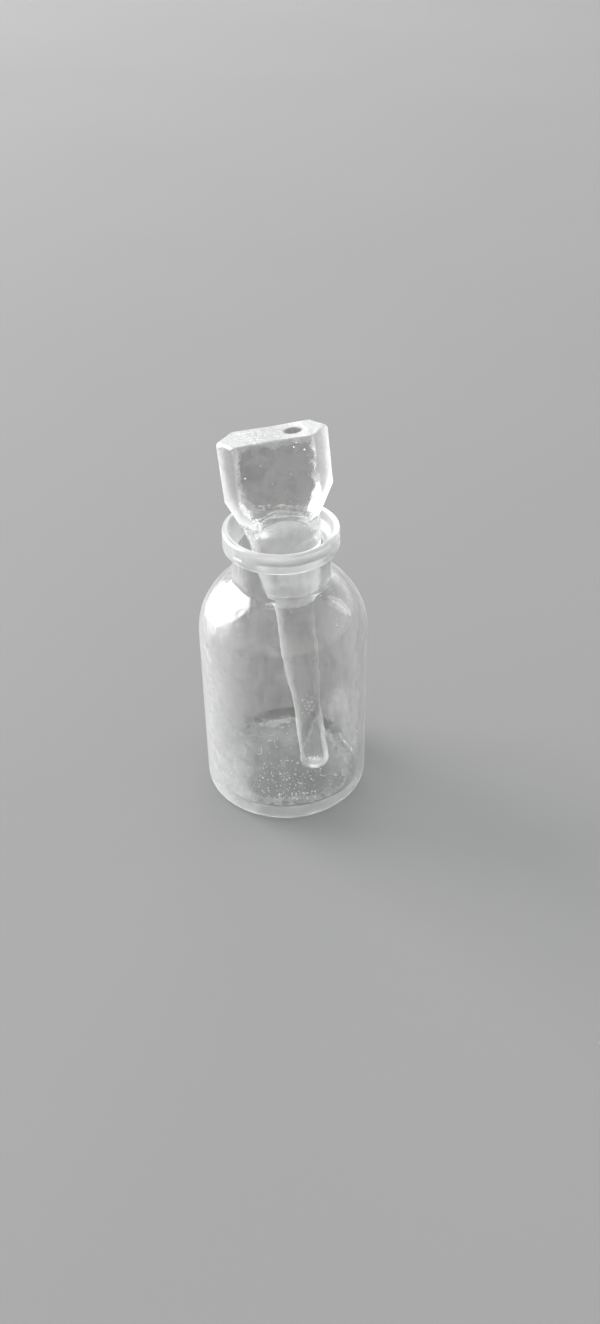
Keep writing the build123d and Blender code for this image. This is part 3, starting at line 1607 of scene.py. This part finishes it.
@dataclass(frozen=True)
class StudioCamera:
    """The camera: millimetres, degrees, and a lens for a 36 mm long side."""

    place: tuple[float, float, float] = (3.47, -216.15, 191.58)
    down: float = 36.66
    roll: float = -0.87
    lens: float = 33.51

    def build(self) -> bpy.types.Object:
        """Set the camera up and make it the scene's."""
        data = bpy.data.cameras.new("studio_camera")
        data.lens = self.lens
        data.sensor_width = 36.0
        data.clip_start = 0.005
        camera = bpy.data.objects.new("studio_camera", data)
        tilt = Matrix.Rotation(math.radians(90.0 - self.down), 4, "X")
        roll = Matrix.Rotation(math.radians(self.roll), 4, "Z")
        camera.matrix_world = Matrix.Translation(Vector(self.place) * MM) @ tilt @ roll
        bpy.context.scene.collection.objects.link(camera)
        bpy.context.scene.camera = camera
        return camera


@dataclass(frozen=True)
class SoftBox:
    """A soft oval light that looks at the bottle's shoulder, in millimetres.

    A card lights nothing matt: it is only seen as a reflection in the glass.
    """

    name: str
    place: tuple[float, float, float]
    size: tuple[float, float]
    brightness: float
    aim: tuple[float, float, float] = (0.0, 0.0, 45.0)
    card: bool = False

    def build(self) -> bpy.types.Object:
        """Hang the light and return it."""
        data = bpy.data.lights.new(self.name, "AREA")
        data.shape = "ELLIPSE"
        data.size, data.size_y = self.size[0] * MM, self.size[1] * MM
        data.energy = self.brightness * math.pi * data.size * data.size_y
        light = bpy.data.objects.new(self.name, data)
        light.visible_diffuse = not self.card
        place, aim = Vector(self.place) * MM, Vector(self.aim) * MM
        turn = (aim - place).to_track_quat("-Z", "Y").to_matrix().to_4x4()
        light.matrix_world = Matrix.Translation(place) @ turn
        bpy.context.scene.collection.objects.link(light)
        return light


@dataclass
class Studio:
    """The plain pale floor, the soft lights and the pale surroundings."""

    floor_radius: float = 12000.0
    floor_shade: float = 0.3
    horizon: float = 1.0
    zenith: float = 0.4
    lights: tuple[SoftBox, ...] = (
        SoftBox("window_left", (-2600.0, 1300.0, 1300.0), (2300.0, 2800.0), 7.5),
        SoftBox("card_left", (-2800.0, 1350.0, 1900.0), (3500.0, 4000.0), 8.0, card=True),
        SoftBox("panel_back", (200.0, 3200.0, 1150.0), (2200.0, 900.0), 5.0),
        SoftBox("panel_right", (2400.0, 900.0, 1000.0), (500.0, 1700.0), 2.0),
        SoftBox("panel_top", (-300.0, 200.0, 2600.0), (1500.0, 1200.0), 2.5),
    )

    def floor(self) -> bpy.types.Object:
        """Lay the floor and return it."""
        mesh = bmesh.new()
        bmesh.ops.create_circle(
            mesh, cap_ends=True, radius=self.floor_radius * MM, segments=64
        )
        data = bpy.data.meshes.new("studio_floor")
        mesh.to_mesh(data)
        mesh.free()
        laid = bpy.data.objects.new("studio_floor", data)
        bpy.context.scene.collection.objects.link(laid)
        data.materials.append(self.floor_paint())
        return laid

    def floor_paint(self) -> bpy.types.Material:
        """Return the floor's even matt paint, with the faintest cloudiness."""
        made = bpy.data.materials.new("studio_floor_paint")
        made.use_nodes = True
        wiring = Wiring(made.node_tree)
        shader = made.node_tree.nodes["Principled BSDF"]
        point = wiring.add("ShaderNodeTexCoord").outputs["Object"]
        cloud = wiring.add("ShaderNodeTexNoise", Vector=point, Scale=6.0, Detail=3.0)
        shade = wiring.math("MULTIPLY_ADD", cloud.outputs["Fac"], 0.02, self.floor_shade - 0.01)
        colour = wiring.add("ShaderNodeCombineColor", Red=shade, Green=shade, Blue=shade)
        wiring.feed(shader.inputs["Base Color"], colour.outputs["Color"])
        shader.inputs["Roughness"].default_value = 0.85
        shader.inputs["Specular IOR Level"].default_value = 0.1
        return made

    def sky(self) -> None:
        """Surround the studio with pale walls that darken evenly towards the ceiling."""
        world = bpy.data.worlds.new("studio_surroundings")
        world.use_nodes = True
        wiring = Wiring(world.node_tree)
        way = wiring.add("ShaderNodeTexCoord").outputs["Generated"]
        height = wiring.add("ShaderNodeSeparateXYZ", Vector=way).outputs["Z"]
        rise = wiring.ramp(height, 0.0, 0.8)
        fall = wiring.math("MULTIPLY", rise, self.zenith - self.horizon)
        backdrop = world.node_tree.nodes["Background"]
        wiring.feed(backdrop.inputs["Strength"], wiring.math("ADD", fall, self.horizon))
        backdrop.inputs["Color"].default_value = (1.0, 1.0, 1.0, 1.0)
        bpy.context.scene.world = world

    def light_paths(self) -> None:
        """Let light pass through all the walls of glass that lie behind one another."""
        scene = bpy.context.scene
        cycles = scene.cycles
        cycles.max_bounces = 28
        cycles.transmission_bounces = 26
        cycles.glossy_bounces = 10
        cycles.diffuse_bounces = 3
        cycles.transparent_max_bounces = 32
        cycles.caustics_reflective = False
        cycles.caustics_refractive = False
        cycles.blur_glossy = 0.2
        cycles.sample_clamp_indirect = 8.0
        cycles.use_denoising = True
        scene.view_settings.view_transform = "Standard"
        scene.view_settings.look = "None"

    def build(self) -> None:
        """Set the whole stage up."""
        self.floor()
        self.sky()
        for light in self.lights:
            light.build()
        self.light_paths()


def dress(piece: bpy.types.Object, materials: list[bpy.types.Material]) -> None:
    """Give a piece its finishes.

    Args:
        piece: The shown object.
        materials: Its finishes, in the order of the slots.
    """
    for material in materials:
        piece.data.materials.append(material)


def place(piece: bpy.types.Object, node: str, body: str, slot: str) -> None:
    """Tie a piece to the frame.

    Args:
        piece: The shown object.
        node: The node that it stands for.
        body: The body that it moves with.
        slot: Not used.
    """
    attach(piece, body)
    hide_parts(node)
    LOG.info("%s: %d faces, rides on %s", piece.name, len(piece.data.polygons), body)


def main() -> None:
    """Build the stage and the three pieces of glass."""
    logging.basicConfig(level=logging.INFO, format="%(name)s: %(message)s")
    StudioCamera().build()
    Studio().build()
    effects = GlassEffects()
    scale, joint = DriedScale().material(), FusedJoint().material()
    seat = Seat.from_joint("stopper_turn")

    bottle = Bottle.from_frame()
    shown = bottle.build()
    dress(shown, [bottle.finish().material(effects), scale])
    place(shown, "bottle", "bottle", "bottle_glass")

    stopper = Stopper(seat)
    shown = stopper.build()
    dress(shown, [stopper.finish().material(effects), scale, joint])
    place(shown, "stopper", "stopper", "stopper_glass")

    rod = DroppingRod(seat)
    shown = rod.build()
    dress(shown, [rod.finish().material(effects), scale, joint])
    place(shown, "dropping_rod", "dropping_rod", "stopper_glass")


if __name__ == "__main__":
    main()
